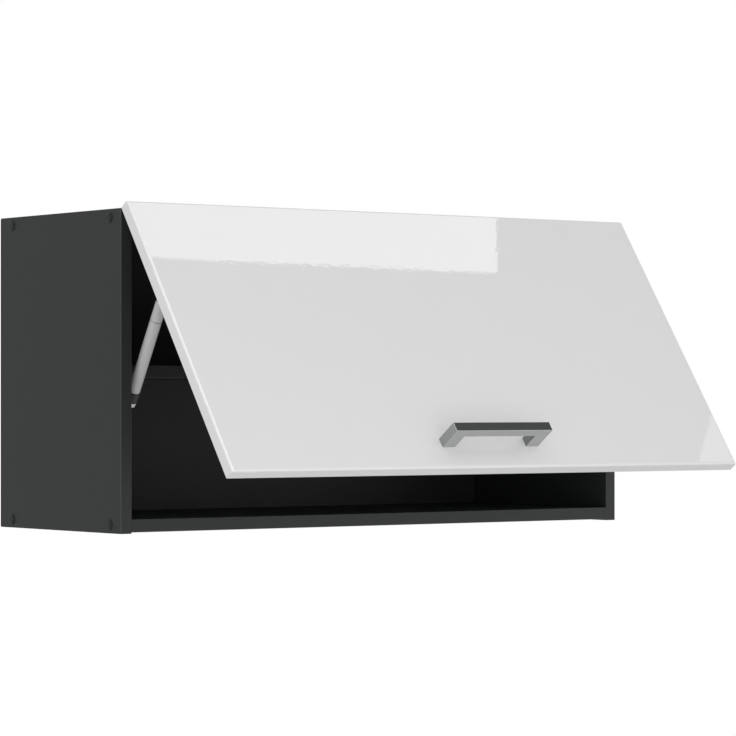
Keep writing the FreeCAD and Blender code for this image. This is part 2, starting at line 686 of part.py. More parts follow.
# Flap board, its front edges rounded and its rear edges eased, with room for the hinges.
board = padded("flap_board", "XY_Plane", [
    ("-door_width / 2", "door_rear"), ("-door_width / 2", "door_front"),
    ("door_width / 2", "door_front"), ("door_width / 2", "door_rear")], "door_bottom", "door_top")
ease_edges(board, "Fillet", "flap_rounding", {"Y": "door_front"}, Radius="door_round")
ease_edges(board, "Fillet", "flap_easing", {"Y": "door_rear"}, Radius="door_ease")
on_flap(cut("flap_drilled", board, [bolts, flap_screws, foot_screws] + rooms_in_flap), "flap_door")
bumper = turned("bumper", [
    ("0", "0"), ("bumper_dia / 2", "0"), ("bumper_dia / 2", "bumper_thick / 2"),
    ("bumper_dia / 2 - bumper_thick / 2", "bumper_thick"), ("0", "bumper_thick")])
on_flap(copies("bumpers", bumper, [
    (f"{sign} * (door_width / 2 - bumper_inset)", "door_rear", "door_bottom + bumper_inset", "+Y")
    for sign in SIDES.values()]), "door_bumpers")

# Struts: the cylinder is drawn down from its eye, and the rod up from its end.
head_turned = turned("head_turned", [
    ("0", "0"), ("neck_radius", "0"), ("neck_radius", "-head_from"),
    ("tube_dia / 2 - tube_roll", "-head_from"), ("tube_dia / 2", "-head_from - tube_roll"),
    ("tube_dia / 2", "seam_bevel - tube_from"), ("tube_dia / 2 - seam_bevel", "-tube_from"),
    ("tube_bore", "-tube_from"), ("tube_bore", "-head_from - head_end"), ("0", "-head_from - head_end")])
eye = bar("eye", "eye_dia / 2", "eye_thick", x="-eye_thick / 2")
eye_bore = bar("eye_bore", "pivot_dia / 2 + pin_play", "2 * eye_thick", x="-eye_thick")
strut_head = cut("strut_head", fuse("head_whole", [head_turned, eye]), [eye_bore])
strut_tube = turned("strut_tube", [
    ("tube_bore", "-tube_from"), ("tube_dia / 2 - seam_bevel", "-tube_from"),
    ("tube_dia / 2", "-tube_from - seam_bevel"), ("tube_dia / 2", "tube_roll - tube_to"),
    ("tube_dia / 2 - tube_roll / 2", "-tube_to"), ("tube_bore", "-tube_to")])
strut_gland = turned("strut_gland", [
    ("tube_bore", "-tube_to"), ("gland_dia / 2", "-tube_to"), ("gland_dia / 2", "-gland_to"),
    ("collar_seat_dia / 2", "-gland_to"), ("collar_seat_dia / 2", "-collar_to"),
    ("nose_dia / 2", "-collar_to"), ("collar_seat_dia / 2", "-nose_to"),
    ("rod_dia / 2 + pin_play", "-nose_to"), ("rod_dia / 2 + pin_play", "-tube_to - gland_cup"),
    ("tube_bore", "-tube_to - gland_cup")])
strut_collar = turned("strut_collar", [
    ("collar_seat_dia / 2", "-gland_to"), ("collar_dia / 2", "-gland_to"),
    ("collar_dia / 2", "-collar_to"), ("collar_seat_dia / 2", "-collar_to")])
rod_seat = "socket_neck_long - socket_grip"
strut_rod = turned("strut_rod", [
    ("0", rod_seat), ("rod_dia / 2", rod_seat), ("rod_dia / 2", "rod_length - piston_long"),
    ("0", "rod_length - piston_long")])
strut_piston = turned("strut_piston", [
    ("0", "rod_length - piston_long"), ("tube_bore - piston_play", "rod_length - piston_long"),
    ("tube_bore - piston_play", "rod_length"), ("0", "rod_length")])
socket_disc = bar("socket_disc", "socket_eye_dia / 2", "eye_thick", x="-eye_thick / 2")
socket_neck = bar("socket_neck", "neck_radius", "socket_neck_long", along="+Z")
strut_rod_end = cut("rod_end", fuse("rod_end_whole", [socket_disc, socket_neck]), [strut_rod])
for side, sign in SIDES.items():
    on_cylinder(strut_head, f"strut_head_{side}", sign)
    on_cylinder(strut_tube, f"strut_tube_{side}", sign)
    on_cylinder(strut_gland, f"strut_gland_{side}", sign)
    on_cylinder(strut_collar, f"strut_collar_{side}", sign)
    on_rod(strut_rod, f"strut_rod_{side}", sign)
    on_rod(strut_piston, f"strut_piston_{side}", sign)
    on_rod(strut_rod_end, f"strut_rod_end_{side}", sign)

doc.recompute()
for obj in doc.Objects:
    if "Invalid" in obj.State or "Error" in obj.State:
        raise RuntimeError(f"{obj.Name} failed: {obj.State}")
for node in nodes:
    if node.Shape.isNull() or not node.Shape.isValid():
        raise RuntimeError(f"{node.Label} has no valid shape")

os.makedirs("parts", exist_ok=True)
for node in nodes:
    node.Shape.exportStep(os.path.join("parts", f"{node.Label}.step"))
print(len(nodes), "pieces written")
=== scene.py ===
# Looks of a lift-up flap wall cabinet: graphite carcass, white gloss flap, bow handle, gas struts.
import json
import math

import bmesh
import bpy
from mathutils import Matrix, Vector

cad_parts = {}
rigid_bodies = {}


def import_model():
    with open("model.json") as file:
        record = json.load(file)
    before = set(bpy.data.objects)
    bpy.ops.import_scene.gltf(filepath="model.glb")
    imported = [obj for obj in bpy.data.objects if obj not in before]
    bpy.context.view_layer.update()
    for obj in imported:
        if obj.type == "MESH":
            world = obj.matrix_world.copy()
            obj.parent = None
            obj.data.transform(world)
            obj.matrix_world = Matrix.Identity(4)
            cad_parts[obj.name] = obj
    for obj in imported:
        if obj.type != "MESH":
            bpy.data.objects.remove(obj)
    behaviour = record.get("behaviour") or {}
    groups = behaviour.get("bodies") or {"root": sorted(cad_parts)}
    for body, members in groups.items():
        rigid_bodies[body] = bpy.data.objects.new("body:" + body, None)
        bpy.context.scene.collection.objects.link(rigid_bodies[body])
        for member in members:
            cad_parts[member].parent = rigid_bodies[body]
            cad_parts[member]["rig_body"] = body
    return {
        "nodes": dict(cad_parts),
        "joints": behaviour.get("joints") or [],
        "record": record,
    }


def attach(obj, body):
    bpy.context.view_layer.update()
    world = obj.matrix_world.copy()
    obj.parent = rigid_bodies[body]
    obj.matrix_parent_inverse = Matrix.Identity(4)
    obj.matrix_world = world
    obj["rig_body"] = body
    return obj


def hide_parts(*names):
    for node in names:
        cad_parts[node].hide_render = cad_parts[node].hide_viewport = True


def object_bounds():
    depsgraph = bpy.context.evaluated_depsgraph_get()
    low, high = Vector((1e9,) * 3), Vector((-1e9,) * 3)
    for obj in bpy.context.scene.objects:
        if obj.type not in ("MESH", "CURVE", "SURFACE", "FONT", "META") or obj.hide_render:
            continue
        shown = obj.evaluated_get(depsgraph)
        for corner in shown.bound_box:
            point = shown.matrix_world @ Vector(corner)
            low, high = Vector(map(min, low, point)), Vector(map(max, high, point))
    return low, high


for leftover in list(bpy.data.objects):
    bpy.data.objects.remove(leftover)
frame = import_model()
cad_low, cad_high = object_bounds()
nodes = frame["nodes"]
joints = {joint["name"]: joint for joint in frame["joints"]}
slot_of = {part["node"]: part["material_slot"] for part in frame["record"]["subparts"]}

# The camera, fitted to the photograph's straight edges; pixels are in its square frame.
IMAGE_SIZE = 736
SENSOR_WIDTH = 36.0
CAMERA_LENS = 158.72
CAMERA_PLACE = Vector((-2.52911, -3.66716, -0.19191))
CAMERA_YAW = math.radians(36.609)
CAMERA_SHIFT_UP = 0.045

# Directions in the shared frame: X along the width, Y into the wall, Z up.
RIGHT = Vector((1, 0, 0))
LEFT = Vector((-1, 0, 0))
REAR = Vector((0, 1, 0))
FRONT = Vector((0, -1, 0))
UP = Vector((0, 0, 1))
DOWN = Vector((0, 0, -1))

# The flap at rest: its hinge axis, how far it is open, and how far its front face is from the axis.
FLAP_AXIS = Vector(joints["flap_lift"]["pos_m"])
FLAP_OPEN = math.radians(35)
FLAP_FRONT_OFF = 0.016
FLAP_OUT = Vector((0, -math.cos(FLAP_OPEN), math.sin(FLAP_OPEN)))
FLAP_DOWN = Vector((0, -math.sin(FLAP_OPEN), -math.cos(FLAP_OPEN)))

# The struts' line, the same for both, and how far along it the tube starts, after the head.
STRUT_AXIS = Vector(joints["strut_stroke_left"]["axis"])
SEAM_LEVEL = min(vertex.co.dot(STRUT_AXIS) for vertex in nodes["strut_tube_left"].data.vertices)
SEAM_HALF = 0.0006

# Light boxes, by the corners of their reflections in the flap, continued past its edges.
OVERHEAD_PIXELS = [(497, 273), (497, 150), (60, 150), (60, 254)]
OVERHEAD_REACH = 2.2
OVERHEAD_STRENGTH = 4.2
CORNER_PIXELS = [(711, 415), (694, 480), (860, 480), (860, 415)]
CORNER_REACH = 2.6
CORNER_STRENGTH = 2.4

# Light boxes that a rounded edge of the flap reflects, by the middle of the edge and the first and last
# angles of the rounding, in degrees from the flap's front, that show them.
LEFT_EDGE = Vector((-0.40, -0.42, -0.12))
LEFT_ANGLES = (10, 55)
LEFT_REACH = 2.4
LEFT_WIDTH = 1.3
LEFT_STRENGTH = 6.0
LOWER_EDGE = Vector((0, -0.53, -0.28))
LOWER_ANGLES = (25, 62)
LOWER_REACH = 4.0
LOWER_WIDTH = 3.0
LOWER_STRENGTH = 2.0

# A soft fill from the front left, aimed at the cabinet's middle, that gloss doesn't show.
AIM = Vector((0, -0.2, -0.15))
FILL_WAY = Vector((-0.38, -0.90, -0.17))
FILL_REACH = 2.0
FILL_SIZE = (2.2, 1.1)
FILL_STRENGTH = 1.75

# How bright the white surroundings are for matt surfaces; everything else sees plain white.
AMBIENT = 0.74
WHITE = (1, 1, 1, 1)

# The floor, a disc below the cabinet that fades out from some share of its radius.
FLOOR_COLOUR = (0.76, 0.76, 0.76, 1)
FLOOR_DROP = 1.4
FLOOR_RADIUS = 2.6
FLOOR_SIDES = 96
FLOOR_FADE_FROM = 0.55

# Eased edges: their width by slot, in metres, and the sharpest angle that is left alone.
EDGE_EASE = {
    "edge_band": 0.0005,
    "handle_metal": 0.0002,
    "strut_paint": 0.0001,
    "chrome_steel": 0.0003,
    "black_plastic": 0.0003,
}
EASE_STEPS = 2
EASE_ANGLE = math.radians(35)
LARGE_FACES_FIRST = 100
WELD = 1e-6

# The sides of a carcass board that have no band and show the bare chipboard.
BARE_REAR = (REAR,)
BARE_REAR_AND_TOP = (REAR, UP)
SIDE_BOARDS = ("side_panel_left", "side_panel_right")


def grey(value):
    return (value, value, value)


# Colours in linear light; a pair holds the two ends of a finish's natural spread.
GRAPHITE = ((0.0245, 0.0293, 0.0277), (0.0275, 0.0323, 0.0307))
CHIPBOARD = ((0.23, 0.145, 0.075), (0.55, 0.41, 0.26))
BAND = ((0.0203, 0.0226, 0.0218), (0.0231, 0.0255, 0.0246))
# Painted highlight for the bands' rounded edges.
BAND_ARRIS_HIGHLIGHT = (0.060, 0.063, 0.062)
BACK_FACE = (grey(0.031), grey(0.036))
DARK_FIBRE = ((0.125, 0.070, 0.034), (0.155, 0.088, 0.044))
LIGHT_FIBRE = ((0.27, 0.170, 0.094), (0.32, 0.205, 0.116))
FLAP_WHITE = (grey(0.780), grey(0.793))
# Painted shade for the flap's lower face.
FLAP_LOWER_FACE_SHADE = grey(0.72)
FLAP_REAR = (grey(0.68), grey(0.70))
SATIN = ((0.40, 0.408, 0.405), (0.48, 0.488, 0.485))
# Painted shade for the handle's end faces.
SATIN_END_SHADE = (0.295, 0.312, 0.306)
# Painted shade for the inner faces of the handle's legs.
SATIN_INNER_SHADE = (0.20, 0.212, 0.207)
# Painted dark reflection for the handle's front face.
SATIN_FRONT_DARK_REFLECTION = ((0.022, 0.026, 0.024), (0.030, 0.034, 0.032))
ZINC = ((0.50, 0.51, 0.52), (0.66, 0.66, 0.63))
PAINT = (grey(0.53), grey(0.56))
PAINT_SEAM = grey(0.29)
CHROME = (grey(0.57), grey(0.63))
BLACK = (grey(0.017), grey(0.024))
CAP = ((0.0205, 0.0245, 0.0232), (0.0235, 0.0278, 0.0264))
BEECH = ((0.40, 0.25, 0.13), (0.62, 0.44, 0.27))
RUBBER = ((0.72, 0.72, 0.70), (0.80, 0.80, 0.78))

# A colour mix node has sockets of the same names for each kind of data; these are the colour ones.
MIX_INPUTS = (0, 6, 7)
MIX_OUTPUT = 2


# Node helpers


def add_node(tree, kind, **settings):
    node = tree.nodes.new(kind)
    for name, value in settings.items():
        setattr(node, name, value)
    return node


def plug(tree, socket, value):
    """Gives a socket a plain value, or links it to another node's output."""
    if isinstance(value, bpy.types.NodeSocket):
        tree.links.new(value, socket)
    else:
        socket.default_value = value


def feed(tree, node, **inputs):
    """Sets a node's inputs, by name, to plain values or to other nodes' outputs."""
    for name, value in inputs.items():
        plug(tree, node.inputs[name.replace("_", " ")], value)
    return node


def at_object(tree):
    return add_node(tree, "ShaderNodeTexCoord").outputs["Object"]


def own_normal(tree):
    return add_node(tree, "ShaderNodeTexCoord").outputs["Normal"]


def along(tree, vector, direction):
    """How far a vector output reaches along a direction."""
    node = add_node(tree, "ShaderNodeVectorMath", operation="DOT_PRODUCT")
    plug(tree, node.inputs[0], vector)
    plug(tree, node.inputs[1], direction)
    return node.outputs["Value"]


def calculate(tree, operation, *values):
    """A math node's result from plain numbers and other nodes' outputs."""
    node = add_node(tree, "ShaderNodeMath", operation=operation)
    for socket, value in zip(node.inputs, values):
        plug(tree, socket, value)
    return node.outputs[0]


def largest(tree, first, *others):
    for other in others:
        first = calculate(tree, "MAXIMUM", first, other)
    return first


def spread(tree, source, to=(0.0, 1.0), span=(0.0, 1.0)):
    """Maps a span of values to another one."""
    node = feed(tree, add_node(tree, "ShaderNodeMapRange"), Value=source,
                From_Min=span[0], From_Max=span[1], To_Min=to[0], To_Max=to[1])
    return node.outputs["Result"]


def noise(tree, size, detail=2.0, roughness=0.5, stretch=(1, 1, 1)):
    """Soft noise with features of about the given size, in metres."""
    mapping = feed(tree, add_node(tree, "ShaderNodeMapping"), Vector=at_object(tree), Scale=stretch)
    texture = feed(tree, add_node(tree, "ShaderNodeTexNoise"), Vector=mapping.outputs["Vector"],
                   Scale=1 / size, Detail=detail, Roughness=roughness)
    return texture.outputs["Fac"]


def chips(tree, size):
    """A random grey for each chip of about the given size, in metres."""
    texture = feed(tree, add_node(tree, "ShaderNodeTexVoronoi"), Vector=at_object(tree), Scale=1 / size)
    return texture.outputs["Color"]


def tint(tree, factor, first, second):
    """A colour between two colours, each plain or another node's output."""
    node = add_node(tree, "ShaderNodeMix", data_type="RGBA")
    for number, value in zip(MIX_INPUTS, (factor, first, second)):
        plug(tree, node.inputs[number], (*value, 1.0) if isinstance(value, tuple) else value)
    return node.outputs[MIX_OUTPUT]


def facing(tree, direction, span=(0.6, 0.9)):
    """One where a surface faces the direction, in the object's own frame, and zero elsewhere."""
    return spread(tree, along(tree, own_normal(tree), direction), span=span)


def facing_squarely(tree, span):
    """One on faces square to an axis, zero on the roundings between them."""
    return largest(tree, *(facing(tree, way, span) for way in (RIGHT, LEFT, REAR, FRONT, UP, DOWN)))


def facing_middle(tree, span):
    """One on faces that look along X towards the middle, zero elsewhere."""
    side = spread(tree, along(tree, at_object(tree), RIGHT), to=(-1.0, 1.0), span=(-WELD, WELD))
    outward = calculate(tree, "MULTIPLY", side, along(tree, own_normal(tree), RIGHT))
    return spread(tree, outward, to=(1.0, 0.0), span=(-span[1], -span[0]))


def bump(tree, height, depth):
    """A normal from a height between zero and one, at its real depth in metres."""
    return feed(tree, add_node(tree, "ShaderNodeBump"), Height=height, Distance=depth).outputs["Normal"]


def mixed_shader(tree, factor, first, second):
    node = add_node(tree, "ShaderNodeMixShader")
    for socket, value in zip(node.inputs, (factor, first, second)):
        plug(tree, socket, value)
    return node.outputs[0]


# Materials, one function each; each gets its node tree and its shader


def melamine(tree, shader, bare_ways):
    """Graphite melamine with a fine pearl, and bare chipboard on edges that have no band."""
    pearl = noise(tree, size=0.0009, detail=3)
    face = tint(tree, noise(tree, size=0.08, detail=3), *GRAPHITE)
    core = tint(tree, chips(tree, size=0.0026), *CHIPBOARD)
    bare = largest(tree, *(facing(tree, way) for way in bare_ways))
    feed(tree, shader, Base_Color=tint(tree, bare, face, core), Specular_IOR_Level=0.12,
         Roughness=spread(tree, pearl, to=(0.4, 0.55), span=(0.3, 0.7)),
         Normal=bump(tree, pearl, depth=0.00003))


def carcass_board(tree, shader):
    melamine(tree, shader, BARE_REAR)


def carcass_side(tree, shader):
    melamine(tree, shader, BARE_REAR_AND_TOP)


def edge_band(tree, shader):
    """Satin band of the boards' colour with a faint rolled grain, and a painted highlight on its rounded
    edges.
    """
    grain = noise(tree, size=0.0012)
    flat = tint(tree, noise(tree, size=0.03), *BAND)
    # Painted highlight: the rounded arrises get a lighter colour than the flat faces.
    colour = tint(tree, facing_squarely(tree, span=(0.95, 0.995)), BAND_ARRIS_HIGHLIGHT, flat)
    feed(tree, shader, Base_Color=colour, Specular_IOR_Level=0.17,
         Roughness=spread(tree, grain, to=(0.36, 0.46)), Normal=bump(tree, grain, depth=0.00002))


def back_board(tree, shader):
    """Fibreboard, faced dark towards the inside and bare brown towards the wall."""
    fibre = spread(tree, noise(tree, size=0.0045, detail=6, roughness=0.75), span=(0.33, 0.67))
    patchy = spread(tree, noise(tree, size=0.07, detail=3), span=(0.3, 0.7))
    screen = noise(tree, size=0.0011, detail=1)
    bare = tint(tree, fibre, tint(tree, patchy, *DARK_FIBRE), tint(tree, patchy, *LIGHT_FIBRE))
    faced = tint(tree, noise(tree, size=0.05), *BACK_FACE)
    rear = facing(tree, REAR)
    feed(tree, shader, Base_Color=tint(tree, rear, faced, bare), Specular_IOR_Level=0.15,
         Roughness=spread(tree, rear, to=(0.5, 0.8)), Normal=bump(tree, screen, depth=0.00004))


def flap_gloss(tree, shader):
    """White high gloss with the slight waves of a pressed foil, painted shade on its lower face, matt on the
    rear face.
    """
    wave = noise(tree, size=0.006, detail=1)
    swell = noise(tree, size=0.06, detail=1)
    # Painted shade: the lower face is tinted darker, where less light falls on it.
    lower = facing(tree, FLAP_DOWN, span=(0.9, 0.99))
    gloss = tint(tree, lower, tint(tree, swell, *FLAP_WHITE), FLAP_LOWER_FACE_SHADE)
    rear = facing(tree, -FLAP_OUT)
    feed(tree, shader, Base_Color=tint(tree, rear, gloss, tint(tree, swell, *FLAP_REAR)), IOR=1.44,
         Roughness=spread(tree, rear, to=(0.015, 0.42)), Normal=bump(tree, wave, depth=0.0000115))


def handle_metal(tree, shader):
    """Satin anodised bar, with a painted dark reflection on its front and painted shade on its ends and
    inside its legs.
    """
    brushed = noise(tree, size=0.0007, detail=4, roughness=0.6, stretch=(0.02, 1, 1))
    # Painted shade: the end faces get a darker satin.
    ends = largest(tree, *(facing(tree, way, span=(0.3, 0.7)) for way in (LEFT, RIGHT)))
    # Painted dark reflection: the front face gets a dark colour and less metal.
    front = facing(tree, FLAP_OUT, span=(0.9, 0.95))
    colour = tint(tree, ends, tint(tree, brushed, *SATIN), SATIN_END_SHADE)
    # Painted shade on the inner faces of the legs.
    colour = tint(tree, facing_middle(tree, span=(0.6, 0.9)), colour, SATIN_INNER_SHADE)
    colour = tint(tree, front, colour, tint(tree, brushed, *SATIN_FRONT_DARK_REFLECTION))
    feed(tree, shader, Base_Color=colour, Metallic=spread(tree, front, to=(0.6, 0.2)),
         Specular_IOR_Level=0.3, Roughness=spread(tree, brushed, to=(0.42, 0.52)),
         Normal=bump(tree, brushed, depth=0.000006))


def zinc_steel(tree, shader):
    """Zinc plate with a faint cloudy bloom."""
    bloom = noise(tree, size=0.006, detail=4, roughness=0.6)
    grain = noise(tree, size=0.0006, detail=3)
    feed(tree, shader, Base_Color=tint(tree, bloom, *ZINC), Metallic=1.0,
         Roughness=spread(tree, bloom, to=(0.28, 0.46)), Normal=bump(tree, grain, depth=0.000008))


def strut_paint(tree, shader):
    """Light grey paint with a slight orange peel, and a dark line in the seam between head and tube."""
    peel = noise(tree, size=0.0016)
    level = along(tree, at_object(tree), STRUT_AXIS)
    seam = calculate(tree, "COMPARE", level, SEAM_LEVEL, SEAM_HALF)
    colour = tint(tree, seam, tint(tree, noise(tree, size=0.02), *PAINT), PAINT_SEAM)
    feed(tree, shader, Base_Color=colour, Roughness=spread(tree, peel, to=(0.3, 0.4)),
         Normal=bump(tree, peel, depth=0.00001))


def chrome_steel(tree, shader):
    """Polished plate with very fine marks."""
    marks = noise(tree, size=0.0005, detail=3)
    feed(tree, shader, Base_Color=tint(tree, marks, *CHROME), Metallic=1.0,
         Roughness=spread(tree, marks, to=(0.16, 0.26)), Normal=bump(tree, marks, depth=0.000002))


def black_plastic(tree, shader):
    """Moulded black plastic with a fine spark texture."""
    spark = noise(tree, size=0.0005)
    feed(tree, shader, Base_Color=tint(tree, spark, *BLACK),
         Roughness=spread(tree, spark, to=(0.4, 0.56)), Normal=bump(tree, spark, depth=0.00002))


def cap_plastic(tree, shader):
    """Moulded caps, a shade off the boards' graphite."""
    spark = noise(tree, size=0.0006)
    feed(tree, shader, Base_Color=tint(tree, spark, *CAP), Specular_IOR_Level=0.1,
         Roughness=spread(tree, spark, to=(0.38, 0.5)), Normal=bump(tree, spark, depth=0.00002))


def beech(tree, shader):
    """Turned beech with its fine dark flecks along the grain."""
    grain = noise(tree, size=0.0016, detail=5, roughness=0.6, stretch=(0.08, 1, 1))
    feed(tree, shader, Base_Color=tint(tree, grain, *BEECH),
         Roughness=spread(tree, grain, to=(0.55, 0.7)), Normal=bump(tree, grain, depth=0.00003))


def clear_rubber(tree, shader):
    """Clear soft pads."""
    cloud = noise(tree, size=0.002)
    feed(tree, shader, Base_Color=tint(tree, cloud, *RUBBER), Transmission_Weight=0.55,
         Roughness=spread(tree, cloud, to=(0.22, 0.34)), Normal=bump(tree, cloud, depth=0.00001))


FINISHES = {function.__name__: function for function in (
    carcass_board, edge_band, back_board, flap_gloss, handle_metal, zinc_steel, strut_paint,
    chrome_steel, black_plastic, cap_plastic, beech, clear_rubber)}


def new_material(name):
    """A material, its node tree and its shader."""
    made = bpy.data.materials.new(name)
    made.use_nodes = True
    return made, made.node_tree, made.node_tree.nodes["Principled BSDF"]


def finished_material(name, finish):
    made, tree, shader = new_material(name)
    finish(tree, shader)
    return made


def add_object(name, data):
    made = bpy.data.objects.new(name, data)
    bpy.context.scene.collection.objects.link(made)
    return made


# Screws with a cross recess, in the place of the plain ones


HEAD_SIDES = 40

# Shares of the head's radius.
RECESS_REACH = 0.62
RECESS_HALF_WIDE = 0.15
RECESS_DEEP = 0.55
SHANK_RADIUS = 0.5
COUNTERSINK = 0.54

# Shares of the recess's mouth and of the screw's length.
RECESS_TAPER = 0.5
POINT_LENGTH = 0.22

# How far below its top a head still counts as flat, in metres, and how each screw is turned, in degrees.
HEAD_FLAT = 1e-5
FIRST_SPIN = 23
SPIN_STEP = 41


def shells(node):
    """The separate solids of a node, each a list of its points, in the order of the node's vertices."""
    mesh = bmesh.new()
    mesh.from_mesh(node.data)
    bmesh.ops.remove_doubles(mesh, verts=mesh.verts, dist=WELD)
    seen = set()
    found = []
    for first in mesh.verts:
        if first in seen:
            continue
        seen.add(first)
        reached = [first]
        for vert in reached:
            for edge in vert.link_edges:
                other = edge.other_vert(vert)
                if other not in seen:
                    seen.add(other)
                    reached.append(other)
        found.append([vert.co.copy() for vert in reached])
    mesh.free()
    return found


def cross_outline(radius):
    """The twelve corners of a cross, anticlockwise."""
    reach, half = radius * RECESS_REACH, radius * RECESS_HALF_WIDE
    corners = []
    for quarter in range(4):
        turn = Matrix.Rotation(quarter * math.pi / 2, 2)
        for x, y in ((reach, -half), (reach, half), (half, half)):
            corners.append(turn @ Vector((x, y)))
    return corners


def add_ring(mesh, radius, level):
    step = 2 * math.pi / HEAD_SIDES
    return [mesh.verts.new((radius * math.cos(i * step), radius * math.sin(i * step), level))
            for i in range(HEAD_SIDES)]


def join_rings(mesh, upper, lower):
    count = len(upper)
    for i in range(count):
        j = (i + 1) % count
        mesh.faces.new((upper[i], lower[i], lower[j], upper[j]))


def add_screw(mesh, radius, length, countersunk):
    """One screw with its head's face at level zero, down to its point; the recess is cut in the face."""
    rim = add_ring(mesh, radius, 0.0)
    mouth = [mesh.verts.new((x, y, 0.0)) for x, y in cross_outline(radius)]
    base = [mesh.verts.new((x, y, -radius * RECESS_DEEP)) for x, y in cross_outline(radius * RECESS_TAPER)]
    loops = []
    for ring in (rim, mouth):
        for i, vert in enumerate(ring):
            loops.append(mesh.edges.new((vert, ring[(i + 1) % len(ring)])))
    bmesh.ops.triangle_fill(mesh, use_beauty=True, use_dissolve=False, edges=loops, normal=UP)
    join_rings(mesh, mouth, base)
    mesh.faces.new(base)
    shank = radius * SHANK_RADIUS
    under = radius * COUNTERSINK
    rings = [rim]
    if not countersunk:
        rings.append(add_ring(mesh, radius, -under))
    rings.append(add_ring(mesh, shank, -under))
    rings.append(add_ring(mesh, shank, length * POINT_LENGTH - length))
    for upper, lower in zip(rings, rings[1:]):
        join_rings(mesh, upper, lower)
    tip = mesh.verts.new((0, 0, -length))
    last = rings[-1]
    for i in range(HEAD_SIDES):
        mesh.faces.new((last[i], tip, last[(i + 1) % HEAD_SIDES]))


def screw_mesh(points, way, spin, countersunk):
    """A detailed screw in the place of a plain one, given by its points and the way its head faces."""
    levels = [point.dot(way) for point in points]
    high, low = max(levels), min(levels)
    top = [point for point, level in zip(points, levels) if high - level < HEAD_FLAT]
    centre = sum(top, Vector()) / len(top)
    radius = max((point - centre).cross(way).length for point in points)
    screw = bmesh.new()
    add_screw(screw, radius, high - low, countersunk)
    bmesh.ops.recalc_face_normals(screw, faces=screw.faces)
    turn = way.to_track_quat("Z", "Y").to_matrix().to_4x4()
    screw.transform(Matrix.Translation(centre) @ turn @ Matrix.Rotation(spin, 4, "Z"))
    mesh = bpy.data.meshes.new("screw")
    screw.to_mesh(mesh)
    screw.free()
    return mesh


def screw_set(node_name, outward, countersunk=True):
    """Detailed screws where a node's plain ones are; outward gives the way a head faces at a point."""
    whole = bmesh.new()
    for number, points in enumerate(shells(nodes[node_name])):
        middle = sum(points, Vector()) / len(points)
        spin = math.radians(FIRST_SPIN + SPIN_STEP * number)
        single = screw_mesh(points, outward(middle).normalized(), spin, countersunk)
        whole.from_mesh(single)
        bpy.data.meshes.remove(single)
    mesh = bpy.data.meshes.new(node_name + "_detailed")
    whole.to_mesh(mesh)
    whole.free()
    piece = add_object(node_name + "_detailed", mesh)
    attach(piece, nodes[node_name]["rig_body"])
    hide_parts(node_name)
    return piece


def to_middle(point):
    return LEFT if point.x > 0 else RIGHT


def to_floor(point):
    return DOWN


def to_flap_rear(point):
    return -FLAP_OUT


# Dressing the CAD nodes


def ease_edges(node, width):
    """Breaks a node's sharp edges by a small rounding."""
    weld = node.modifiers.new("weld", "WELD")
    weld.merge_threshold = WELD
    bevel = node.modifiers.new("ease", "BEVEL")
    bevel.width = width
    bevel.segments = EASE_STEPS
    bevel.limit_method = "ANGLE"
    bevel.angle_limit = EASE_ANGLE
    normals = node.modifiers.new("normals", "WEIGHTED_NORMAL")
    normals.weight = LARGE_FACES_FIRST


def eased_nodes():
    """The bands, the handle and the outer pieces of the struts."""
    bands = [name for name in nodes if slot_of[name] == "edge_band"]
    strut_pieces = [f"strut_{piece}_{side}" for piece in ("tube", "head", "collar", "gland", "rod_end")
                    for side in ("left", "right")]
    return [*bands, "handle", *strut_pieces]


def dress():
    made = {slot: finished_material(slot, finish) for slot, finish in FINISHES.items()}
    side = finished_material("carcass_side", carcass_side)
    for name, node in nodes.items():
        node.data.materials.clear()
        node.data.materials.append(side if name in SIDE_BOARDS else made[slot_of[name]])
    for name in eased_nodes():
        ease_edges(nodes[name], EDGE_EASE[slot_of[name]])
    screws = [
        screw_set("wall_bracket_screws", to_middle),
        screw_set("panel_bracket_screws", to_middle),
        screw_set("hinge_top_screws", to_floor),
        screw_set("hinge_flap_screws", to_flap_rear),
        screw_set("flap_bracket_screws", to_flap_rear),
        screw_set("handle_screws", to_flap_rear, countersunk=False),
    ]
    for piece in screws:
        piece.data.materials.append(made["zinc_steel"])


# Camera, light and floor


def make_camera():
    data = bpy.data.cameras.new("camera")
    data.sensor_width = SENSOR_WIDTH
    data.lens = CAMERA_LENS
    data.shift_y = CAMERA_SHIFT_UP
    data.dof.use_dof = False
    camera = add_object("camera", data)
    camera.location = CAMERA_PLACE
    camera.rotation_euler = (math.pi / 2, 0, -CAMERA_YAW)
    bpy.context.scene.camera = camera


def mirrored(sight, normal):
    return sight - 2 * sight.dot(normal) * normal


def mirrored_points(pixels, reach):
    """Where the pixels' lines of sight get to, a distance after their reflection in the flap's front."""
    focal = IMAGE_SIZE * CAMERA_LENS / SENSOR_WIDTH
    ahead = Vector((math.sin(CAMERA_YAW), math.cos(CAMERA_YAW), 0))
    aside = Vector((math.cos(CAMERA_YAW), -math.sin(CAMERA_YAW), 0))
    to_front = FLAP_AXIS + FLAP_OUT * FLAP_FRONT_OFF - CAMERA_PLACE
    points = []
    for x, y in pixels:
        across = (x - IMAGE_SIZE / 2) / focal
        rise = (IMAGE_SIZE * (0.5 + CAMERA_SHIFT_UP) - y) / focal
        sight = (ahead + aside * across + UP * rise).normalized()
        distance = to_front.dot(FLAP_OUT) / sight.dot(FLAP_OUT)
        points.append(CAMERA_PLACE + sight * distance + mirrored(sight, FLAP_OUT) * reach)
    return points


